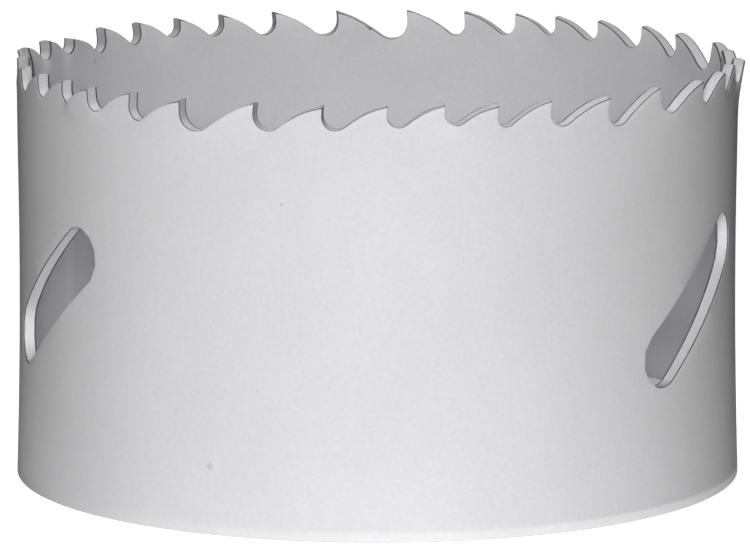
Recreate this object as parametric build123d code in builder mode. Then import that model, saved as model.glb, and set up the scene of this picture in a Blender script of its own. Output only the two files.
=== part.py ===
"""A 3 inch bi-metal hole saw: a toothed steel band, rolled into a cup and welded round a threaded back plate.

Millimetres. The origin is the centre of the back face, and +Z runs along the saw's axis towards the teeth.
Seen from the tooth side the saw turns anticlockwise as it cuts, so every rake face looks that way.
"""
import math
import os

from build123d import *

# Cup
cut_diameter = 76.2             # 3 inches, over the tips that are set outwards
height = 44.0                   # back face to tooth tips
wall = 1.4
tooth_set = 0.5                 # how far a set tip leans out of the wall
back_edge_chamfer = 0.3         # outer corner of the band at the back
bend_above_gullet = 0.25        # a tooth leans out from this far above its shallower gullet

# Teeth: one repeat of the variable pitch, each tooth with the gullet in front of it
tooth_pitches = [7.9, 7.15, 6.45, 5.75, 5.3, 5.9, 6.65]
gullet_depths = [3.2, 2.75, 2.5, 2.25, 2.0, 2.35, 2.65]
gullet_radii = [1.8, 1.55, 1.4, 1.2, 1.05, 1.15, 1.2]
set_directions = [1, -1, 1, 0, 0, 1, 0]         # outwards, inwards, or 0 for a straight raker
first_tip_angle = 170.1         # the first tooth after the butt weld of the band
rake_angle = 4.0
gullet_exit_angle = 38.0        # slope at which the relief leaves the gullet

# Slots in the wall, for levering out the plug
slot_count = 3
slot_width = 6.0
slot_run = 16.8                 # between the centres of the round ends
slot_rise_angle = 37.0
slot_height = 21.2              # middle of a slot above the back face
slot_pitch = 82.1               # along the outer face of the band
first_slot_angle = 205.7

# Back plate, and the weld round its edge
plate_thickness = 6.0
plate_clearance = 0.05          # all round, inside the band
plate_inner_chamfer = 0.5
weld_depth = 1.2
weld_width = 1.2
weld_hollow = 0.15              # how far the middle of the bead stays below the back face

# Arbor thread, 5/8"-18 UNF, bored to its minor diameter
thread_major_diameter = 15.875
thread_minor_diameter = 14.5
countersink_margin = 0.2        # how far the countersink opens past the major diameter, in radius

# Drive pin holes and knock-out holes
pin_hole_count = 4
pin_hole_diameter = 6.8
pin_circle_diameter = 28.0
first_pin_hole_angle = 45.0
knockout_hole_count = 2
knockout_hole_diameter = 11.0
knockout_web = 5.0              # metal left between a knock-out hole and the weld
hole_chamfer = 0.4

outer_radius = cut_diameter / 2 - tooth_set
inner_radius = outer_radius - wall
plate_radius = inner_radius - plate_clearance
knockout_circle_radius = plate_radius - weld_width / 2 - knockout_web - knockout_hole_diameter / 2
cut_margin = 1.0                # how far a cutter reaches past what it cuts


def band_angle(length):
    """The angle that a length of the flat band covers once it is rolled."""
    return math.degrees(length / outer_radius)


def band_teeth():
    """Each tooth as (tip angle, step to the next tip, depth and radius of its gullet, set direction).

    The punched strip was cut to the cup's length. Whole repeats come first, and a few evenly spaced teeth
    fill what is left at the weld, set like the last ones of the pattern.
    """
    circumference = 2 * math.pi * outer_radius
    repeats = int(circumference // sum(tooth_pitches))
    gullets = zip(gullet_depths, gullet_radii)
    rows = list(zip(tooth_pitches, gullets, set_directions)) * repeats
    left_over = circumference - repeats * sum(tooth_pitches)
    fillers = max(1, round(left_over * len(tooth_pitches) / sum(tooth_pitches)))
    smallest_gullet = (min(gullet_depths), min(gullet_radii))
    for k in range(fillers):
        rows.append((left_over / fillers, smallest_gullet, set_directions[k - fillers]))
    teeth = []
    angle = first_tip_angle
    for pitch, gullet, direction in rows:
        teeth.append((angle, band_angle(pitch), gullet, direction))
        angle += band_angle(pitch)
    return teeth


def gullet_centre(depth, radius):
    """Centre of a gullet's arc from the tip behind it, where the arc touches the rake face and the floor."""
    rake = math.radians(rake_angle)
    down_face = (depth - radius - radius * math.sin(rake)) / math.cos(rake)
    return (radius * math.cos(rake) - down_face * math.sin(rake), radius - depth)


def radial_plane(angle, radius, z):
    """A plane square to a radius of the cup: its x runs round the saw and its y runs up the wall."""
    turn = math.radians(angle)
    outward = (math.cos(turn), math.sin(turn), 0)
    return Plane(
        origin=(radius * outward[0], radius * outward[1], z),
        x_dir=(-outward[1], outward[0], 0),
        z_dir=outward,
    )


def gap_cutter(angle, step, gullet):
    """The gap in front of the tip at an angle, down to its gullet and up to the next tip, a step further on.

    It runs down the rake face, round the gullet, and up a relief that flattens towards the next tip.
    """
    depth, radius = gullet
    rake = math.radians(rake_angle)
    climb = math.radians(gullet_exit_angle)
    half_gap = outer_radius * math.sin(math.radians(step / 2))
    centre = Vector(*gullet_centre(depth, radius)) - Vector(half_gap, 0)
    face_end = centre + Vector(-math.cos(rake), math.sin(rake)) * radius
    floor = centre - Vector(0, radius)
    relief_start = centre + Vector(math.sin(climb), -math.cos(climb)) * radius
    next_tip = Vector(half_gap, 0)
    face_top = Vector(cut_margin * math.tan(rake) - half_gap, cut_margin)
    with BuildPart() as cutter:
        with BuildSketch(radial_plane(angle + step / 2, outer_radius, height)):
            with BuildLine():
                Line(face_top, face_end)
                ThreePointArc(face_end, floor, relief_start)
                relief = TangentArc(relief_start, next_tip, tangent=(math.cos(climb), math.sin(climb)))
                past_tip = next_tip + (relief % 1) * cut_margin
                Polyline(
                    next_tip, past_tip, (past_tip.X, 2 * cut_margin), (face_top.X, 2 * cut_margin), face_top,
                )
            make_face()
        extrude(amount=wall + tooth_set + cut_margin, both=True)
    return cutter.part


def bent_sector(start, end, bend, lean):
    """A sector of wall above the tooth roots, between two angles, whose top leans out above the bend."""
    top = height + cut_margin
    top_lean = lean * (top - bend) / (height - bend)
    with BuildPart() as sector:
        with BuildSketch(Plane.XZ.rotated((0, 0, start))):
            with BuildLine():
                Polyline(
                    (inner_radius, root_height), (outer_radius, root_height), (outer_radius, bend),
                    (outer_radius + top_lean, top), (inner_radius + top_lean, top), (inner_radius, bend),
                    close=True,
                )
            make_face()
        revolve(axis=Axis.Z, revolution_arc=end - start)
    return sector.part


def make_teeth():
    """All the teeth, each a bent sector from gullet floor to gullet floor, with both gaps cut away."""
    rows = band_teeth()
    gaps = [gap_cutter(angle, step, gullet) for angle, step, gullet, direction in rows]
    made = []
    for index, (angle, step, gullet, direction) in enumerate(rows):
        behind_angle, behind_step, behind_gullet, behind_direction = rows[index - 1]
        start = angle - behind_step + band_angle(gullet_centre(*behind_gullet)[0])
        end = angle + band_angle(gullet_centre(*gullet)[0])
        bend = height - min(gullet[0], behind_gullet[0]) + bend_above_gullet
        with BuildPart() as tooth:
            add(bent_sector(start, end, bend, direction * tooth_set))
            add(gaps[index - 1], mode=Mode.SUBTRACT)
            add(gaps[index], mode=Mode.SUBTRACT)
        made.append(tooth.part)
    return made


root_height = height - max(gullet_depths) - cut_margin
teeth = make_teeth()

# Toothed band
with BuildPart() as cup_wall:
    # Plain ring up to the tooth roots, with its half of the weld groove
    with BuildSketch(Plane.XZ):
        with BuildLine():
            Polyline(
                (inner_radius, weld_depth), (inner_radius, root_height), (outer_radius, root_height),
                (outer_radius, 0), (inner_radius + weld_width / 2, 0), close=True,
            )
        make_face()
    revolve(axis=Axis.Z)
    back_edges = cup_wall.edges().filter_by(GeomType.CIRCLE).group_by(Axis.Z)[0]
    chamfer(back_edges.sort_by(SortBy.RADIUS)[-1], back_edge_chamfer)

    # Slots: the strip was punched flat, so the centres of their round ends lie on radii of the cup
    rise = slot_run * math.sin(math.radians(slot_rise_angle))
    run = slot_run * math.cos(math.radians(slot_rise_angle))
    half_turn = run / 2 / outer_radius
    reach = math.cos(half_turn + slot_width / 2 / outer_radius)
    for k in range(slot_count):
        angle = first_slot_angle + k * band_angle(slot_pitch)
        for radius in (inner_radius * reach - cut_margin, outer_radius + cut_margin):
            spread = 2 * radius * math.tan(half_turn)
            with BuildSketch(radial_plane(angle, radius, slot_height)):
                SlotCenterToCenter(
                    math.hypot(spread, rise), slot_width, rotation=math.degrees(math.atan2(rise, spread))
                )
        loft(ruled=True, mode=Mode.SUBTRACT)

    add(teeth)

# Back plate, turned and drilled
with BuildPart() as back_plate:
    with BuildSketch(Plane.XZ):
        with BuildLine():
            Polyline(
                (0, 0), (plate_radius - weld_width / 2, 0), (plate_radius, weld_depth),
                (plate_radius, plate_thickness - plate_inner_chamfer),
                (plate_radius - plate_inner_chamfer, plate_thickness), (0, plate_thickness), close=True,
            )
        make_face()
    revolve(axis=Axis.Z)
    countersink = (thread_major_diameter - thread_minor_diameter) / 2 + countersink_margin
    Hole(radius=thread_minor_diameter / 2)
    bore_edges = back_plate.edges().filter_by(GeomType.CIRCLE).filter_by(
        lambda edge: abs(edge.radius - thread_minor_diameter / 2) < 0.001
    )
    chamfer(bore_edges, countersink)
    with PolarLocations(pin_circle_diameter / 2, pin_hole_count, start_angle=first_pin_hole_angle):
        Hole(radius=pin_hole_diameter / 2)
    with PolarLocations(knockout_circle_radius, knockout_hole_count):
        Hole(radius=knockout_hole_diameter / 2)
    drilled = (pin_hole_diameter, knockout_hole_diameter)
    hole_edges = back_plate.edges().filter_by(GeomType.CIRCLE).filter_by(
        lambda edge: min(abs(edge.radius - diameter / 2) for diameter in drilled) < 0.001
    )
    chamfer(hole_edges, hole_chamfer)

# Weld bead between the plate and the band, slightly hollow
with BuildPart() as weld_bead:
    with BuildSketch(Plane.XZ):
        with BuildLine():
            plate_side = (plate_radius - weld_width / 2, 0)
            band_side = (inner_radius + weld_width / 2, 0)
            Polyline(plate_side, (plate_radius, weld_depth), (inner_radius, weld_depth), band_side)
            ThreePointArc(band_side, ((plate_radius + inner_radius) / 2, weld_hollow), plate_side)
        make_face()
    revolve(axis=Axis.Z)

cup_wall.part.label = "cup_wall"
back_plate.part.label = "back_plate"
weld_bead.part.label = "weld_bead"

os.makedirs("parts", exist_ok=True)
for piece in (cup_wall, back_plate, weld_bead):
    export_step(piece.part, f"parts/{piece.part.label}.step")
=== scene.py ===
"""A bi-metal hole saw, 76 mm across and 44 mm high, standing on its back with its teeth up."""
import math

import bpy
import numpy as np
from mathutils.geometry import delaunay_2d_cdt
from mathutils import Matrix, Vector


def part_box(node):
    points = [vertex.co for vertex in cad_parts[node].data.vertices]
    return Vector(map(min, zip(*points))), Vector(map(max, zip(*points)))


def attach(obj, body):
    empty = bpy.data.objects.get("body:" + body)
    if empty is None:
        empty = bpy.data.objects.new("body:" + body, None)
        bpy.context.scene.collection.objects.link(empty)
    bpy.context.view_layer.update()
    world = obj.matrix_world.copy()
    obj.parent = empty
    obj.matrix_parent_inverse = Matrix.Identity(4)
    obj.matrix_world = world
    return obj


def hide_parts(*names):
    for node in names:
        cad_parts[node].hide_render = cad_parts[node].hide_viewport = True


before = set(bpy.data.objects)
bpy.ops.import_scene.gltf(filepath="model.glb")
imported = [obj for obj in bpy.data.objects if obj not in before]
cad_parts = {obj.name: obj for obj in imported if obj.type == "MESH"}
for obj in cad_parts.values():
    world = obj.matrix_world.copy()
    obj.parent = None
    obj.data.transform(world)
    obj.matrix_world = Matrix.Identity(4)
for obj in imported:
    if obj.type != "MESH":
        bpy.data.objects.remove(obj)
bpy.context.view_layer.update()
mm = 0.001

# Toothed band
# One strip of spring steel with an edge of high-speed steel, 1.4 mm thick. Its teeth and slots are punched
# flat and the teeth are set. The strip is then rolled into a cup, butt welded and coated all over.

height = 44.0 * mm
outer_radius = 37.6 * mm
wall = 1.4 * mm
around = 2 * math.pi * outer_radius
edge_break = 0.09 * mm           # the coat rounds every punched edge by this much, and a line of painted shade this wide follows on the cut face at the outer side, and wider at the inner
shade_line = 0.07 * mm            # and a dark line this wide follows on the cut face
inner_shade_line = 0.11 * mm      # at the outer side, and wider at the inner
line_fade = 0.03 * mm

tooth_pitches = np.array([7.9, 7.15, 6.45, 5.75, 5.3, 5.9, 6.65]) * mm
gullet_depths = np.array([3.2, 2.75, 2.5, 2.25, 2.0, 2.35, 2.65]) * mm
gullet_radii = np.array([1.8, 1.55, 1.4, 1.2, 1.05, 1.15, 1.2]) * mm
first_tip_angle = math.radians(170.1)
rake = math.radians(4)
climb = math.radians(38)         # slope of the relief where it leaves the gullet
face_points, gullet_points, relief_points = 5, 10, 13      # of the mesh, on each part of a gap

tooth_sets = np.array([0.5, -0.3, 0.35, 0.0, -0.1, 0.5, 0.0]) * mm       # how far each tip leans out,
set_misses = {                   # and how much more single teeth do, in mm
    0: 0.54, 1: 0.27, 2: -0.15, 3: 0.12, 4: 0.1, 17: 0.1, 18: -0.1, 20: -0.2, 34: 0.22, 35: -0.7, 36: 0.25,
}
set_reach = 4.6 * mm             # the set starts this far below the tips
set_power = 1.2
set_change = 0.7 * mm            # half the length over which one tooth's set changes to the next,
set_spread = 1.3                 # and how much that grows for each mm below the shallowest gullet
waist = 0.11 * mm                # the wall is this much slimmer in the middle of its height,
waist_end = 25.0 * mm            # up to here, and widens again over the length that follows
waist_fade = 14.0 * mm
weld_spread = 0.45 * mm          # the back plate has spread its outer face at the back
spread_height = 22.0 * mm
spread_power = 1.7
flare = 0.25 * mm                # the rim has opened a little on one side
flare_reach = 7.0 * mm
low_tips = {35: 0.45 * mm}       # the tooth beside the butt weld was ground down with the seam
low_tip_reach = 1.3 * mm
low_tip_points = 9               # of the gap in front of it, the points that can sink with the tip
tip_crown = 0.2 * mm             # a tip's two corners are worn this much lower than its middle
crown_reach = 0.9 * mm

root_line = 37.4 * mm            # straight rows of the mesh run up to here, and follow the teeth above
tip_lead = 0.8 * mm              # the mesh line below a tip leans back by this, clear of the undercut rake
wall_rows, tooth_rows, edge_rows, face_rows, back_edge_rows = 17, 9, 4, 5, 5

slot_width = 6.0 * mm
slot_run = 16.8 * mm             # between the centres of the round ends
slot_tilt = math.radians(37)
slot_height = 21.2 * mm
slot_places = math.radians(205.7) * outer_radius + np.arange(3) * 82.1 * mm

seam_angle = math.radians(156.3)
seam_half_width = 0.45 * mm
seam_end = 2.5                   # in half widths: its tone is even up to one less, and gone here

# Each mark on the coat: its angle in degrees, its distance from the axis, height and size in mm, and how dark
marks = [
    (243.6, 37.6, 7.0, 0.5, 0.25), (260.0, 37.6, 1.8, 0.2, 0.5), (255.3, 37.6, 33.9, 0.18, 0.4),
    (255.6, 37.6, 25.9, 0.15, 0.35), (147.0, 36.2, 40.6, 0.2, 0.6), (28.7, 36.2, 42.2, 0.3, 0.8),
    (15.7, 36.3, 42.4, 0.3, 0.8), (150.9, 36.3, 42.4, 0.25, 0.7),
    (91.3, 36.05, 41.9, 0.2, 0.9), (91.6, 36.05, 42.05, 0.2, 0.9), (91.9, 36.05, 42.2, 0.18, 0.7),
    (91.0, 36.1, 42.15, 0.2, 0.9), (91.3, 36.1, 42.3, 0.2, 0.8),
    (170.1, 38.4, 43.7, 0.25, 0.5), (170.1, 38.45, 43.0, 0.22, 0.6), (170.1, 37.9, 43.6, 0.25, 0.4),
    (193.0, 37.0, 43.9, 0.25, 0.5), (193.0, 37.4, 43.7, 0.2, 0.5), (193.0, 36.5, 43.9, 0.25, 0.5),
    (213.0, 37.7, 43.75, 0.3, 0.7), (213.0, 36.9, 43.6, 0.3, 0.7), (213.0, 37.3, 43.85, 0.25, 0.5),
    (213.0, 37.9, 43.5, 0.22, 0.5),
]

back_edge_radius = 0.3 * mm
plate_top = 6.0 * mm
weld_depth = 1.2 * mm
weld_width = 1.2 * mm


def band_teeth():
    """Tips along the band, pitches, gullets and sets: whole repeats, then fillers up to the butt weld."""
    repeats = int(around // tooth_pitches.sum())
    left_over = around - repeats * tooth_pitches.sum()
    fillers = max(1, round(left_over * len(tooth_pitches) / tooth_pitches.sum()))
    pitch = np.append(np.tile(tooth_pitches, repeats), np.full(fillers, left_over / fillers))
    depth = np.append(np.tile(gullet_depths, repeats), np.full(fillers, gullet_depths.min()))
    radius = np.append(np.tile(gullet_radii, repeats), np.full(fillers, gullet_radii.min()))
    lean = np.append(np.tile(tooth_sets, repeats), tooth_sets[-fillers:])
    lean[list(set_misses)] += np.array(list(set_misses.values())) * mm
    tip = first_tip_angle * outer_radius + np.append(0, np.cumsum(pitch)[:-1])
    return tip, pitch, depth, radius, lean


def gap_outline(pitch, depth, gullet_radius):
    """The band's edge from each tip to the next: x along the band and y above the tips, one row to a gap.

    It runs straight down the rake face and round the gullet's centre. Up the relief the slope falls evenly
    with the length, so x is the relief's radius times the change in the slope's sine, and y in its cosine.
    """
    pitch, depth, gullet_radius = pitch[:, None], depth[:, None], gullet_radius[:, None]
    down_face = (depth - gullet_radius - gullet_radius * math.sin(rake)) / math.cos(rake)
    centre_x = gullet_radius * math.cos(rake) - down_face * math.sin(rake)
    face = np.arange(face_points) / face_points * down_face
    turn = np.linspace(math.pi - rake, 1.5 * math.pi + climb, gullet_points)
    gullet_x = centre_x + gullet_radius * np.cos(turn)
    gullet_y = gullet_radius - depth + gullet_radius * np.sin(turn)
    run, rise = pitch - gullet_x[:, -1:], -gullet_y[:, -1:]
    half_turn = climb - np.arctan2(rise, run)
    relief_radius = np.hypot(run, rise) / (2 * np.sin(half_turn))
    slope = climb - np.arange(1, relief_points) / relief_points * 2 * half_turn
    relief_x = gullet_x[:, -1:] + relief_radius * (math.sin(climb) - np.sin(slope))
    relief_y = gullet_y[:, -1:] + relief_radius * (np.cos(slope) - math.cos(climb))
    x = np.concatenate([-face * math.sin(rake), gullet_x, relief_x], 1)
    y = np.concatenate([-face * math.cos(rake), gullet_y, relief_y], 1)
    return x, y, centre_x


def gap_roots(x, y, centre_x):
    """Where each point of a gap's outline meets the root line, shared out by length along the outline."""
    ends_x = np.concatenate([x, pitches[:, None]], 1)
    ends_y = np.concatenate([y, np.zeros((len(x), 1))], 1)
    steps = np.hypot(np.diff(ends_x, axis=1), np.diff(ends_y, axis=1))
    length = np.cumsum(steps, 1) - steps
    gullet = slice(face_points, face_points + gullet_points)
    floor_length = np.array([
        [np.interp(floor_x, row_x[gullet], row_length[gullet])]
        for floor_x, row_x, row_length in zip(centre_x[:, 0], x, length)
    ])
    whole = steps.sum(1, keepdims=True)
    before = -tip_lead + length / floor_length * (centre_x + tip_lead)
    beyond = (length - floor_length) / (whole - floor_length)
    after = centre_x + beyond * (pitches[:, None] - tip_lead - centre_x)
    return np.where(length < floor_length, before, after)


def eased(share):
    """A smooth step from 0 to 1: three times the square less twice the cube."""
    share = np.clip(share, 0, 1)
    return share * share * (3 - 2 * share)


def rim_lean(along, z):
    """How far the rim leans outwards at a place, and the slope of that lean.

    A tooth's set holds from gullet to gullet and changes smoothly across each, over a length that grows
    downwards: each gullet adds the step from one set to the next. The lean grows as a power of the height
    above where the bend starts. The flare, the square of an even wave round the rim, does so from lower down.
    """
    floors = tips + gullet_centres[:, 0]
    changes = np.roll(leans, -1) - leans
    reach = set_change + set_spread * np.clip(height - depths.min() - z, 0, None)
    place = (along - floors[0]) % around + floors[0]
    amount = leans[0] + 0 * (place + reach)
    for turn in (-around, 0, around):
        for floor, change in zip(floors, changes):
            share = eased((place - floor - turn) / (2 * reach) + 0.5)
            amount = amount + change * (share if turn >= 0 else share - 1)
    opening = flare * (0.5 + 0.5 * np.cos(along / outer_radius)) ** 2
    rise = np.clip(1 + (z - height) / set_reach, 0, None)
    flare_rise = np.clip(1 + (z - height) / flare_reach, 0, None)
    lean = amount * rise ** set_power + opening * flare_rise ** set_power
    slope = amount * set_power * rise ** (set_power - 1) / set_reach
    slope = slope + opening * set_power * flare_rise ** (set_power - 1) / flare_reach
    return lean, slope


def wall_bow(z, inward):
    """How far the wall bows outwards with the height: in at the waist, and out again to the rim and the back.

    The inner face stays put where the back plate fills the cup.
    """
    outer_share = np.clip(1 - inward / wall, 0, 1)
    share = outer_share + (1 - outer_share) * eased(z / plate_top - 1)
    out_at_rim = eased((z - waist_end) / waist_fade)
    out_at_back = np.clip(1 - z / spread_height, 0, None) ** spread_power
    return share * (weld_spread * out_at_back - waist * (1 - out_at_rim))


def on_cup(along, z, inward):
    """Places on the flat band, once it is rolled: its angle is the length over the outer radius.

    The thickness turns with the lean, and the higher corner of a leaning edge stays at the height given.
    Near a tip the height falls by the square of the distance from the middle of the thickness.
    """
    lean, slope = rim_lean(along, z)
    tilt = np.arctan(slope)
    out = wall / 2 - inward
    radius = outer_radius - wall / 2 + lean + out * np.cos(tilt) + wall_bow(z, inward)
    lift = out * np.sin(tilt) + wall / 2 * np.abs(np.sin(tilt))
    lift = lift + tip_crown * (2 * out / wall) ** 2 * np.clip(1 + (z - height) / crown_reach, 0, 1) ** 2
    angle = along / outer_radius
    return np.stack([radius * np.cos(angle), radius * np.sin(angle), z - lift], -1)


def slot_outline(points=40):
    """The edge of a slot about its middle: places, outward normals and the length so far, closed."""
    half_circle = np.linspace(-math.pi / 2, math.pi / 2, points)
    turn = slot_tilt + np.append(half_circle, half_circle + math.pi)
    normal = np.stack([np.cos(turn), np.sin(turn)], 1)
    half_run = slot_run / 2 * np.array([math.cos(slot_tilt), math.sin(slot_tilt)])
    place = slot_width / 2 * normal + np.repeat([half_run, -half_run], points, 0)
    place, normal = np.vstack([place, place[:1]]), np.vstack([normal, normal[:1]])
    length = np.append(0, np.cumsum(np.hypot(*np.diff(place, axis=0).T)))
    return place, normal, length


def slot_rings(frame_place, rings=6):
    """Rings from the frame of mesh lines round a slot, to its edge, through the wall and out again inside.

    A point of the frame is led to the slot's edge half by its direction and half by its share of the length.
    Each ring is (places, how far in from the outer face, painted edge shade).
    """
    place, normal, length = slot_outline()
    whole = length[-1]
    bearing = np.unwrap(np.arctan2(place[:, 1], place[:, 0]))
    frame_bearing = np.unwrap(np.arctan2(frame_place[:, 1], frame_place[:, 0]))
    bearings = np.concatenate([bearing[:-1] + turn * 2 * math.pi for turn in (-2, -1, 0, 1, 2)])
    lengths = np.concatenate([length[:-1] + turn * whole for turn in (-2, -1, 0, 1, 2)])
    by_direction = np.interp(frame_bearing, bearings, lengths)
    steps = np.hypot(*(np.roll(frame_place, -1, 0) - frame_place).T)
    by_length = (np.cumsum(steps) - steps) / steps.sum() * whole
    by_length = by_length + (by_direction - by_length).mean()
    share = ((by_direction + by_length) / 2) % whole
    edge = np.stack([np.interp(share, length, place[:, axis]) for axis in (0, 1)], 1)
    out = np.stack([np.interp(share, length, normal[:, axis]) for axis in (0, 1)], 1)
    back = edge + edge_break * out
    steps_in = np.linspace(0, 1, rings + 1)
    steps_out = np.linspace(1, 0, rings + 1)
    found = [(frame_place + (back - frame_place) * step, 0, 0) for step in steps_in[1:]]
    for turn in edge_turns[1:]:
        round_in = edge_break * (1 - math.cos(turn))
        found.append((edge + edge_break * (1 - math.sin(turn)) * out, round_in, math.sin(turn) ** 2))
    found += [(edge, inward, dark) for inward, dark in across_cut]
    for turn in edge_turns[::-1]:
        round_in = edge_break * (1 - math.cos(turn))
        found.append((edge + edge_break * (1 - math.sin(turn)) * out, wall - round_in, math.sin(turn)))
    found.append((back + line_fade * out, wall, 0))
    found += [(frame_place + (back - frame_place) * step, wall, 0) for step in steps_out[1:-1]]
    return found


def grid_faces(index):
    """Quads over a grid of point numbers, rows by columns, whose rows close on themselves."""
    after = np.roll(index, -1, 1)
    return np.stack([index[:-1], after[:-1], after[1:], index[1:]], -1)


def make_piece(name, points, faces, sharp_angle=38, attributes=None):
    """A mesh object at the origin that rides on the saw's one body, smooth but for its sharp edges."""
    mesh = bpy.data.meshes.new(name)
    mesh.from_pydata(points.tolist(), [], faces.tolist() if isinstance(faces, np.ndarray) else faces)
    for label, values in (attributes or {}).items():
        mesh.attributes.new(label, "FLOAT", "POINT").data.foreach_set("value", values.astype(np.float32))
    mesh.polygons.foreach_set("use_smooth", np.ones(len(mesh.polygons), bool))
    mesh.set_sharp_from_angle(angle=math.radians(sharp_angle))
    piece = bpy.data.objects.new(name, mesh)
    bpy.context.scene.collection.objects.link(piece)
    flatten = piece.modifiers.new("faces keep their own shading", "WEIGHTED_NORMAL")
    flatten.keep_sharp = True
    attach(piece, "root")
    return piece


tips, pitches, depths, radii, leans = band_teeth()
edge_x, edge_y, gullet_centres = gap_outline(pitches, depths, radii)
roots = (tips[:, None] + gap_roots(edge_x, edge_y, gullet_centres)).ravel()
for tooth, drop in low_tips.items():
    relief = slice(face_points + gullet_points, None)
    for gap, near in ((tooth, slice(0, low_tip_points)), (tooth - 1, relief)):
        edge_y[gap, near] -= drop * np.clip(1 + edge_y[gap, near] / low_tip_reach, 0, 1)
edge = np.stack([(tips[:, None] + edge_x).ravel(), height + edge_y.ravel()])
columns = len(roots)

step = np.roll(edge, -1, 1) - edge
step[0, -1] += around
step /= np.hypot(*step)
into_metal = np.stack([step[1], -step[0]])
into_metal_before = np.roll(into_metal, 1, 1)
corner = (into_metal + into_metal_before) / (1 + (into_metal * into_metal_before).sum(0))
inset = edge + edge_break * corner

levels = np.linspace(weld_depth, root_line, wall_rows)
tooth_steps = np.linspace(0, 1, tooth_rows)[1:]
edge_turns = np.linspace(0, math.pi / 2, edge_rows)
line_end, line_start = edge_break + shade_line, wall - edge_break - inner_shade_line
face_levels = np.linspace(line_end + line_fade, line_start - line_fade, face_rows)
across_cut = [(line_end, 1)] + [(inward, 0) for inward in face_levels] + [(line_start, 1)]
flat = np.ones(columns)

rows = [(roots, back_edge_radius * flat, 0, 0)]
rows += [(roots, level * flat, 0, 0) for level in levels]
climb_x, climb_z = inset[0] - roots, inset[1] - root_line
rows += [(roots + climb_x * t, root_line + climb_z * t, 0, 0) for t in tooth_steps]
for turn in edge_turns[1:]:
    cut = edge + edge_break * (1 - math.sin(turn)) * corner
    rows.append((cut[0], cut[1], edge_break * (1 - math.cos(turn)), math.sin(turn) ** 2))
cut_rows = slice(len(rows) - 1, len(rows) + len(across_cut) + 1)
rows += [(edge[0], edge[1], inward, dark) for inward, dark in across_cut]
for turn in edge_turns[::-1]:
    cut = edge + edge_break * (1 - math.sin(turn)) * corner
    rows.append((cut[0], cut[1], wall - edge_break * (1 - math.cos(turn)), math.sin(turn)))
line_foot = edge + (edge_break + line_fade) * corner
rows.append((line_foot[0], line_foot[1], wall, 0))
rows += [(roots + climb_x * t, root_line + climb_z * t, wall, 0) for t in tooth_steps[-2::-1]]
inner_top_row = len(rows)
rows += [(roots, level * flat, wall, 0) for level in levels[::-1]]
rows.append((roots, 0 * flat, wall - weld_width / 2, 0))
for turn in np.linspace(0, math.pi / 2, back_edge_rows)[:-1]:
    rounding = back_edge_radius * (1 - math.cos(turn))
    rows.append((roots, rounding * flat, back_edge_radius * (1 - math.sin(turn)), 0))

row_along = np.array([row[0] for row in rows])
row_z = np.array([row[1] for row in rows])
row_inward = np.array([row[2] for row in rows])[:, None]
# painted shade along the edges, as each row gives it: on the rounding and on a thin line at each side of a
# cut face
painted_edge_shade = np.repeat([row[3] for row in rows], columns).astype(float)
full_shade_points, shade_gone_points = face_points + 1, face_points + 6      # painted shade: full on the rake face, gone from here on
rake_share = np.interp(np.arange(edge_x.shape[1]), [full_shade_points, shade_gone_points], [1, 0])
# painted shade on the rake faces: darker near each tip, gone by the middle of the gullet
rake_shade = np.zeros((len(rows), columns))
rake_shade[cut_rows] = np.tile(rake_share, len(tips))
cut_face = np.zeros((len(rows), columns))
cut_face[cut_rows] = 1
points = on_cup(row_along, row_z, row_inward).reshape(-1, 3)
index = np.arange(len(points)).reshape(len(rows), columns)
quads = grid_faces(np.vstack([index, index[:1]]))
kept = np.ones(quads.shape[:2], bool)

slot_margin = 1.6 * mm
slot_half_length = slot_run / 2 * math.cos(slot_tilt) + slot_width / 2 + slot_margin
slot_half_height = slot_run / 2 * math.sin(slot_tilt) + slot_width / 2 + slot_margin
low_level = np.searchsorted(levels, slot_height - slot_half_height) - 1
high_level = np.searchsorted(levels, slot_height + slot_half_height)
slot_points, slot_edge_shade, slot_cut, slot_faces = [], [], [], []
next_point = len(points)
for middle in slot_places:
    first = np.searchsorted(roots, middle - slot_half_length) - 1
    last = np.searchsorted(roots, middle + slot_half_length)
    across, up = np.arange(first, last), np.arange(low_level, high_level)
    left, right = np.full(len(up), first), np.full(len(up), last)
    low, high = np.full(len(across), low_level), np.full(len(across), high_level)
    loop_columns = np.concatenate([across, right, across[::-1] + 1, left])
    loop_levels = np.concatenate([low, up, high, up[::-1] + 1])
    outer_loop = index[1 + loop_levels, loop_columns]
    inner_loop = index[inner_top_row + len(levels) - 1 - loop_levels, loop_columns]
    kept[1 + low_level:1 + high_level, first:last] = False
    lowest_inner_row = inner_top_row + len(levels) - 1
    kept[lowest_inner_row - high_level:lowest_inner_row - low_level, first:last] = False
    frame_place = np.stack([roots[loop_columns] - middle, levels[loop_levels] - slot_height], 1)
    ring_index = [outer_loop]
    for place, inward, dark in slot_rings(frame_place):
        slot_points.append(on_cup(middle + place[:, 0], slot_height + place[:, 1], inward))
        slot_edge_shade.append(np.full(len(place), float(dark)))
        slot_cut.append(np.full(len(place), float(edge_break < np.max(inward) < wall - edge_break)))
        ring_index.append(next_point + np.arange(len(place)))
        next_point += len(place)
    ring_index.append(inner_loop)
    slot_faces.append(grid_faces(np.array(ring_index)).reshape(-1, 4))

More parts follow.
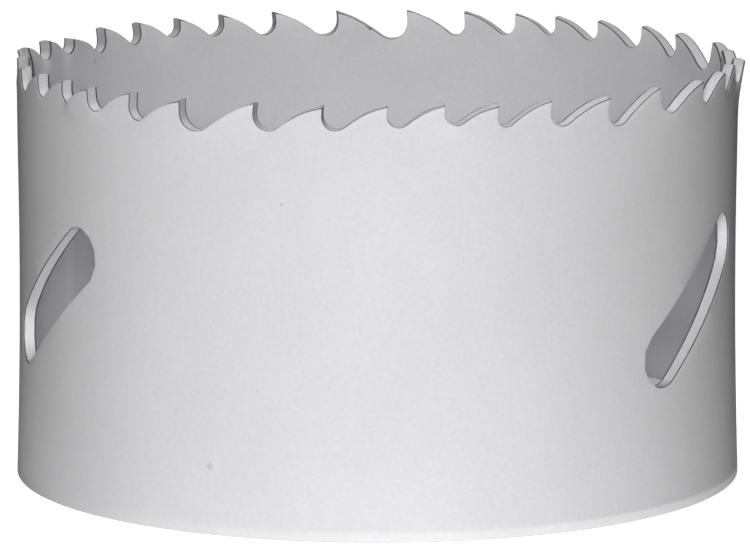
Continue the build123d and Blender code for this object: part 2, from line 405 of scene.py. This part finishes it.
all_points = np.vstack([points] + slot_points)
all_edge_shade = np.concatenate([painted_edge_shade] + slot_edge_shade)
all_cut = np.concatenate([cut_face.ravel()] + slot_cut)
all_rake_shade = np.concatenate([rake_shade.ravel(), np.zeros(len(all_cut) - rake_shade.size)])
all_faces = np.vstack([quads[kept]] + slot_faces)
seam_distance = np.arctan2(all_points[:, 1], all_points[:, 0]) - seam_angle
all_seam = eased(seam_end - np.abs(seam_distance) * outer_radius / seam_half_width)
used = np.zeros(len(all_points), bool)
used[all_faces.ravel()] = True
renumber = np.cumsum(used) - 1
band = make_piece("toothed_band", all_points[used], renumber[all_faces], attributes={
    "painted_edge_shade": all_edge_shade[used], "cut_face": all_cut[used], "rake_shade": all_rake_shade[used],
    "seam": all_seam[used],
})
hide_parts("cup_wall")

coat_specular = 0.002
speck_colour = (0.25, 0.25, 0.26)
rare_specks = 0.93               # this share of the specks stays out
# the steel grey painted on the rake faces as shade
rake_shade_colour = (0.56, 0.555, 0.565)
ragged_reach = 0.6 * mm
spot_core = 0.4                  # a spot is fully dark up to this share of its size
peel_depth = 0.04 * mm


def add_node(tree, kind, inputs=(), **settings):
    """A shader node with its settings, and its inputs by name or number: a value or another node's output."""
    made = tree.nodes.new(kind)
    for name, value in settings.items():
        setattr(made, name, value)
    for name, value in dict(inputs).items():
        if isinstance(value, bpy.types.NodeSocket):
            tree.links.new(value, made.inputs[name])
        else:
            made.inputs[name].default_value = value
    return made


def noise(tree, place, scale, detail, roughness=0.5):
    """Cloudy noise that is fixed to the object, as a value and as a colour, both about a half."""
    inputs = {"Vector": place, "Scale": scale, "Detail": detail, "Roughness": roughness}
    return add_node(tree, "ShaderNodeTexNoise", inputs).outputs


def attribute(tree, name):
    """A value that the mesh holds at its points."""
    return add_node(tree, "ShaderNodeAttribute", attribute_name=name).outputs["Fac"]


def remap(tree, value, low, high, to_low, to_high):
    """A value led from one range onto another in a straight line, and held at the ends."""
    inputs = {"Value": value, "From Min": low, "From Max": high, "To Min": to_low, "To Max": to_high}
    return add_node(tree, "ShaderNodeMapRange", inputs).outputs["Result"]


def combine(tree, operation, first, second):
    """One value out of two, by the named operation."""
    return add_node(tree, "ShaderNodeMath", {0: first, 1: second}, operation=operation).outputs["Value"]


def scaled(tree, colour, amount):
    """A colour, or a step in space, times an amount."""
    inputs = {0: colour, "Scale": amount}
    return add_node(tree, "ShaderNodeVectorMath", inputs, operation="SCALE").outputs["Vector"]


def blend(tree, share, colour, other):
    """A share of the other colour, and the rest of the first."""
    inputs = {"Factor": share, "A": colour, "B": other}
    return add_node(tree, "ShaderNodeMix", inputs, data_type="VECTOR").outputs["Result"]


def coat_material(name, colour, shade_and_mark_colour, spots=()):
    """Satin enamel over steel: faintly cloudy, with fine orange peel, a few dark specks and thin painted
    shade along the edges.

    On the cut faces it is mottled, and the rake faces carry painted shade in steel grey that fades in the
    gullets. Over the butt weld it is a little lighter. Each spot is dark, and its distance is shaken by
    noise, so its rim is ragged.
    """
    material = bpy.data.materials.new(name)
    material.use_nodes = True
    tree = material.node_tree
    shader = tree.nodes["Principled BSDF"]
    place = add_node(tree, "ShaderNodeTexCoord").outputs["Object"]

    cloud = noise(tree, place, 55.0, 4.0, 0.55)["Fac"]
    grain = noise(tree, place, 2600.0, 2.0)["Fac"]
    tone = remap(tree, cloud, 0.3, 0.7, 0.965, 1.02)
    grain_tone = remap(tree, grain, 0.25, 0.75, 0.97, 1.03)
    base = scaled(tree, colour, combine(tree, "MULTIPLY", tone, grain_tone))

    inputs = {"Vector": place, "Scale": 160.0, "Randomness": 1.0}
    cells = add_node(tree, "ShaderNodeTexVoronoi", inputs).outputs
    speck = remap(tree, cells["Distance"], 0.025, 0.05, 1.0, 0.0)
    cell_number = add_node(tree, "ShaderNodeSeparateColor", {"Color": cells["Color"]}).outputs["Red"]
    speck = combine(tree, "MULTIPLY", speck, combine(tree, "GREATER_THAN", cell_number, rare_specks))
    speckled = blend(tree, speck, base, speck_colour)

    mottle = remap(tree, noise(tree, place, 6500.0, 2.0, 0.6)["Fac"], 0.3, 0.7, 0.86, 1.06)
    faced = blend(tree, attribute(tree, "cut_face"), speckled, scaled(tree, speckled, mottle))
    # painted shade: the rake faces darkened towards steel grey
    rake_shaded = blend(tree, attribute(tree, "rake_shade"), faced, scaled(tree, rake_shade_colour, mottle))

    patches = remap(tree, noise(tree, place, 420.0, 3.0)["Fac"], 0.25, 0.6, 0.85, 1.0)
    # painted shade along the edges, broken into patches by noise
    patchy_edge_shade = combine(tree, "MULTIPLY", attribute(tree, "painted_edge_shade"), patches)
    edge_shaded = blend(tree, patchy_edge_shade, rake_shaded, shade_and_mark_colour)
    seam_tone = remap(tree, attribute(tree, "seam"), 0.0, 1.0, 1.0, 1.06)
    seamed = scaled(tree, edge_shaded, seam_tone)

    ragged = noise(tree, place, 3500.0, 2.0)["Color"]
    wander = add_node(tree, "ShaderNodeVectorMath", {0: ragged, 1: (0.5, 0.5, 0.5)}, operation="SUBTRACT")
    wander = scaled(tree, wander.outputs["Vector"], ragged_reach)
    shaken = add_node(tree, "ShaderNodeVectorMath", {0: place, 1: wander}, operation="ADD").outputs["Vector"]
    marked = 0.0
    for angle, distance, level, size, darkness in spots:
        turn = math.radians(angle)
        centre = (distance * mm * math.cos(turn), distance * mm * math.sin(turn), level * mm)
        away = add_node(tree, "ShaderNodeVectorMath", {0: shaken, 1: centre}, operation="DISTANCE")
        spot = remap(tree, away.outputs["Value"], size * mm * spot_core, size * mm, darkness, 0.0)
        marked = combine(tree, "MAXIMUM", marked, spot)
    painted = blend(tree, marked, seamed, shade_and_mark_colour)
    tree.links.new(painted, shader.inputs["Base Color"])

    peel = combine(tree, "ADD", noise(tree, place, 700.0, 2.0, 0.6)["Fac"], grain)
    bump = add_node(tree, "ShaderNodeBump", {"Strength": 0.25, "Distance": peel_depth, "Height": peel})
    tree.links.new(bump.outputs["Normal"], shader.inputs["Normal"])
    tree.links.new(remap(tree, cloud, 0.3, 0.7, 0.58, 0.68), shader.inputs["Roughness"])
    shader.inputs["Specular IOR Level"].default_value = coat_specular
    return material


# the dark colour serves both the painted shade along the edges and the marks on the coat
enamel, enamel_shade_and_marks = (0.775, 0.77, 0.785), (0.075, 0.08, 0.085)
band.data.materials.append(coat_material("grey_enamel", enamel, enamel_shade_and_marks, marks))

# Back plate
# A disc of mild steel, turned, drilled and tapped 5/8"-18 for the arbor. Four holes round the thread take
# the arbor's drive pins, and the two large ones are for pushing the plug out. It has the band's coat.

plate_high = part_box("back_plate")[1]
plate_radius = plate_high.x
plate_thickness = plate_high.z
plate_chamfer = 0.5 * mm
hole_chamfer = 0.4 * mm
pin_hole_radius = 3.4 * mm
pin_circle_radius = 14.0 * mm
knockout_hole_radius = 5.5 * mm
knockout_circle_radius = 25.05 * mm
thread_minor_radius = 7.25 * mm
thread_major_radius = 7.9375 * mm
thread_pitch = 25.4 / 18 * mm
flank_steepness, crest_offset = 1.6, 0.3     # of the thread's section, from the middle of a crest
countersink_margin = 0.2 * mm


def rounded_line(corners, radius, steps=3):
    """A line of straight runs whose corners are rounded: each is a quadratic curve between two tangents."""
    corners = np.array(corners, float)
    path = [corners[0]]
    for before, here, after in zip(corners[:-2], corners[1:-1], corners[2:]):
        start = here + radius * (before - here) / np.hypot(*(before - here))
        end = here + radius * (after - here) / np.hypot(*(after - here))
        for t in np.linspace(0, 1, steps + 1):
            path.append((1 - t) ** 2 * start + 2 * t * (1 - t) * here + t * t * end)
    return np.array(path + [corners[-1]])


def lathe(profile, segments, centre=(0, 0)):
    """A profile of (radius, height) turned about an upright axis: rings of points, lowest row first."""
    angle = np.arange(segments) / segments * 2 * math.pi
    radius, z = profile[:, :1], profile[:, 1:]
    x, y = centre[0] + radius * np.cos(angle), centre[1] + radius * np.sin(angle)
    return np.stack([x, y, z + 0 * angle], -1)


def thread_bore(segments=120, rows_per_turn=14):
    """The tapped bore as rings: height over pitch, less the turn, gives the place in the thread's section.

    The radius falls and rises between major and minor in straight flanks with flats, and the countersinks at
    both ends cut it off.
    """
    rows = int(plate_thickness / thread_pitch * rows_per_turn)
    z = np.linspace(0, plate_thickness, rows + 1)[:, None]
    angle = np.arange(segments) / segments * 2 * math.pi
    phase = (z / thread_pitch - angle / (2 * math.pi)) % 1
    flank = np.clip(flank_steepness * np.abs(2 * phase - 1) - crest_offset, 0, 1)
    radius = thread_minor_radius + (thread_major_radius - thread_minor_radius) * flank
    mouth = thread_major_radius + countersink_margin
    radius = np.maximum(radius, np.maximum(mouth - z, mouth - (plate_thickness - z)))
    return np.stack([radius * np.cos(angle), radius * np.sin(angle), z + 0 * angle], -1)


def flat_face(rings, z):
    """A flat face between an outer ring and the holes in it, as triangles over the rings' own points."""
    flat_points = [tuple(point[:2]) for ring in rings for point in ring]
    bounds, start = [], 0
    for ring in rings:
        bounds.append(list(range(start, start + len(ring))))
        start += len(ring)
    same_point = 1e-5
    found, _, triangles, _, _, _ = delaunay_2d_cdt(
        [(x / mm, y / mm) for x, y in flat_points], [], bounds, 0, same_point
    )
    corners = np.array([(point[0] * mm, point[1] * mm, z) for point in found])
    triangles = np.array(triangles)
    middle = corners[triangles].mean(1)[:, :2]
    keep = np.ones(len(triangles), bool)
    for ring in rings[1:]:
        centre = ring[:, :2].mean(0)
        keep &= np.hypot(*(middle - centre).T) > np.hypot(*(ring[0, :2] - centre)) * 0.999
    return corners, triangles[keep]


segments_rim, segments_hole = 256, 64
break_size = 0.08 * mm
rim_profile = rounded_line([
    (plate_radius - weld_width / 2 - 3 * break_size, 0), (plate_radius - weld_width / 2, 0),
    (plate_radius, weld_depth), (plate_radius, plate_thickness - plate_chamfer),
    (plate_radius - plate_chamfer, plate_thickness),
    (plate_radius - plate_chamfer - 3 * break_size, plate_thickness),
], break_size)


def hole_profile(radius, chamfer):
    """A drilled hole with both mouths chamfered, from its lower face to its upper."""
    mouth = radius + chamfer
    return rounded_line([
        (mouth + 3 * break_size, 0), (mouth, 0), (radius, chamfer), (radius, plate_thickness - chamfer),
        (mouth, plate_thickness), (mouth + 3 * break_size, plate_thickness),
    ], break_size)


pin_angles = math.radians(45) + np.arange(4) * math.pi / 2
hole_centres = [
    (pin_hole_radius, pin_circle_radius * math.cos(angle), pin_circle_radius * math.sin(angle))
    for angle in pin_angles
]
hole_centres += [(knockout_hole_radius, side * knockout_circle_radius, 0) for side in (1, -1)]
walls = [lathe(rim_profile, segments_rim)]
walls += [lathe(hole_profile(r, hole_chamfer), segments_hole, (x, y)) for r, x, y in hole_centres]
walls.append(thread_bore())

plate_points, plate_faces, count = [], [], 0
for number, surface in enumerate(walls):
    index = np.arange(surface.shape[0] * surface.shape[1]).reshape(surface.shape[:2]) + count
    faces = grid_faces(index).reshape(-1, 4)
    plate_faces += (faces if number == 0 else faces[:, ::-1]).tolist()
    plate_points.append(surface.reshape(-1, 3))
    count += index.size
for z, end in ((0.0, 0), (plate_thickness, -1)):
    corners, triangles = flat_face([surface[end] for surface in walls], z)
    first, second, third = corners[triangles].transpose(1, 0, 2)
    turned = np.cross(second - first, third - first)
    wrong_way = (turned[:, 2] > 0) != (end == -1)
    triangles[wrong_way] = triangles[wrong_way][:, ::-1]
    plate_faces += (triangles + count).tolist()
    plate_points.append(corners)
    count += len(corners)
plate = make_piece("back_plate_body", np.vstack(plate_points), plate_faces, sharp_angle=28)
weld = plate.modifiers.new("join the faces", "WELD")
weld.merge_threshold = 1e-6
plate.modifiers.move(len(plate.modifiers) - 1, 0)
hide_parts("back_plate")
plate.data.materials.append(coat_material("plate_enamel", (0.76, 0.76, 0.77), (0.1, 0.105, 0.11)))

# Weld bead
# The ring of weld metal that joins the plate to the band, slightly hollow, with the fine ripples that a
# turned seam has. It is coated with the rest.

inner_radius = outer_radius - wall
bead_hollow = 0.15 * mm
ripples = 220
ripple_height = 0.03 * mm
ripple_lean = 2.2                # how far a ripple's middle trails its ends, as an angle of its wave


def bead_surface(segments=1760, across=9):
    """The bead's section carried round the saw: its face is a parabola, and its ripples are crescents."""
    angle = np.arange(segments) / segments * 2 * math.pi
    share = np.linspace(-1, 1, across)[:, None]
    middle = (plate_radius + inner_radius) / 2
    half = (inner_radius - plate_radius + weld_width) / 2
    radius = middle + half * share
    wave = np.cos(ripples * angle + ripple_lean * (1 - share ** 2))
    z = bead_hollow * (1 - share ** 2) + ripple_height * wave * (1 - share ** 4)
    face = np.stack([radius * np.cos(angle), radius * np.sin(angle), z], -1)
    sides = lathe(np.array([(inner_radius, weld_depth), (plate_radius, weld_depth)]), segments)
    return np.concatenate([face, sides])


bead_points = bead_surface()
bead_index = np.arange(bead_points.shape[0] * bead_points.shape[1]).reshape(bead_points.shape[:2])
bead_faces = grid_faces(np.vstack([bead_index, bead_index[:1]])).reshape(-1, 4)[:, ::-1]
bead = make_piece("weld_bead_ring", bead_points.reshape(-1, 3), bead_faces)
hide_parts("weld_bead")
bead.data.materials.append(coat_material("bead_enamel", (0.74, 0.74, 0.755), (0.3, 0.3, 0.31)))

# Floor, lights and camera
# A white table that keeps the saw's shadow and gives back light close round it. From below it is clear, and
# it lets light up to what stands on it. Two soft lamps stand in front, and one each behind, above and below.

floor_half = 4.0
floor_drop = 0.05 * mm           # clear of the saw's back, whose plane it would share
light_gap = 1.3 * mm             # what is closer to the table than this gets the light from under it
floor_mesh = bpy.data.meshes.new("table")
floor_corners = [
    (x * floor_half, y * floor_half, -floor_drop) for x, y in ((-1, -1), (1, -1), (1, 1), (-1, 1))
]
floor_mesh.from_pydata(floor_corners, [], [(0, 1, 2, 3)])
floor = bpy.data.objects.new("table", floor_mesh)
bpy.context.scene.collection.objects.link(floor)


def seen_directly(tree):
    """1 for rays from the camera, from gloss and through clear things, 0 for the light that bounces about."""
    rays = add_node(tree, "ShaderNodeLightPath").outputs
    seen = combine(tree, "MAXIMUM", rays["Is Camera Ray"], rays["Is Glossy Ray"])
    return combine(tree, "MAXIMUM", seen, rays["Is Transmission Ray"])


floor_material = bpy.data.materials.new("white_table")
floor_material.use_nodes = True
floor_tree = floor_material.node_tree
floor_tree.nodes.remove(floor_tree.nodes["Principled BSDF"])
floor_place = add_node(floor_tree, "ShaderNodeTexCoord").outputs["Object"]
floor_distance = add_node(floor_tree, "ShaderNodeVectorMath", {0: floor_place}, operation="LENGTH")
floor_bounce = remap(floor_tree, floor_distance.outputs["Value"], 0.058, 0.085, 0.45, 0.05)
paint = add_node(floor_tree, "ShaderNodeBsdfDiffuse", {"Color": (0.8, 0.8, 0.8, 1)})
glow = add_node(floor_tree, "ShaderNodeEmission", {"Color": (1, 1, 1, 1), "Strength": 0.88})
lit = add_node(floor_tree, "ShaderNodeAddShader", {0: paint.outputs["BSDF"], 1: glow.outputs["Emission"]})
bounce = add_node(floor_tree, "ShaderNodeBsdfDiffuse", {"Color": floor_bounce})
chosen = add_node(floor_tree, "ShaderNodeMixShader",
                  {0: seen_directly(floor_tree), 1: bounce.outputs["BSDF"], 2: lit.outputs["Shader"]})
from_below = add_node(floor_tree, "ShaderNodeNewGeometry").outputs["Backfacing"]
rays = add_node(floor_tree, "ShaderNodeLightPath").outputs
close_by = combine(floor_tree, "LESS_THAN", rays["Ray Length"], light_gap)
lets_light_up = combine(floor_tree, "MULTIPLY", rays["Is Shadow Ray"], close_by)
see_through = combine(floor_tree, "MAXIMUM", from_below, lets_light_up)
clear = add_node(floor_tree, "ShaderNodeBsdfTransparent")
one_sided = add_node(floor_tree, "ShaderNodeMixShader",
                     {0: see_through, 1: chosen.outputs["Shader"], 2: clear.outputs["BSDF"]})
floor_tree.links.new(one_sided.outputs["Shader"], floor_tree.nodes["Material Output"].inputs["Surface"])
floor_mesh.materials.append(floor_material)

world = bpy.data.worlds.new("studio")
bpy.context.scene.world = world
world.use_nodes = True
backdrop = remap(world.node_tree, seen_directly(world.node_tree), 0.0, 1.0, 0.02, 1.0)
world.node_tree.nodes["Background"].inputs["Color"].default_value = (1, 1, 1, 1)
world.node_tree.links.new(backdrop, world.node_tree.nodes["Background"].inputs["Strength"])


def soft_light(name, place, size, power):
    """A soft lamp, wide and high as its size says, that looks at the middle of the saw."""
    lamp = bpy.data.lights.new(name, "AREA")
    lamp.shape = "RECTANGLE"
    lamp.size, lamp.size_y = size
    lamp.energy = power
    holder = bpy.data.objects.new(name, lamp)
    holder.location = place
    aim = np.array([0, 0, height / 2]) - np.array(place)
    tilt = math.atan2(math.hypot(aim[0], aim[1]), -aim[2])
    holder.rotation_euler = (tilt, 0, math.atan2(aim[1], aim[0]) - math.pi / 2)
    bpy.context.scene.collection.objects.link(holder)
    return holder


soft_light("front_light", (-0.0215, -0.68, 0.198), (0.16, 0.11), 2.6)
soft_light("low_light", (-0.0215, -0.70, 0.026), (0.16, 0.03), 1.5)
soft_light("back_light", (0.1, 1.28, 0.27), (0.5, 0.3), 6.5)
soft_light("under_light", (0.3, -0.4, -0.9), (0.6, 0.6), 5.0)
top_light = soft_light("top_light", (0.0, 0.0, 0.9), (0.12, 0.12), 0.022)
top_light.data.spread = math.radians(12)

camera = bpy.data.objects.new("camera", bpy.data.cameras.new("camera"))
camera.data.lens = 302.1
camera.data.sensor_width = 36.0
camera.data.clip_start = 0.01
camera.location = (0.00031, -0.65105, 0.1323)
camera.rotation_euler = (math.radians(80.277), 0, math.radians(0.05))
bpy.context.scene.collection.objects.link(camera)
bpy.context.scene.camera = camera
bpy.context.scene.view_settings.view_transform = "Standard"
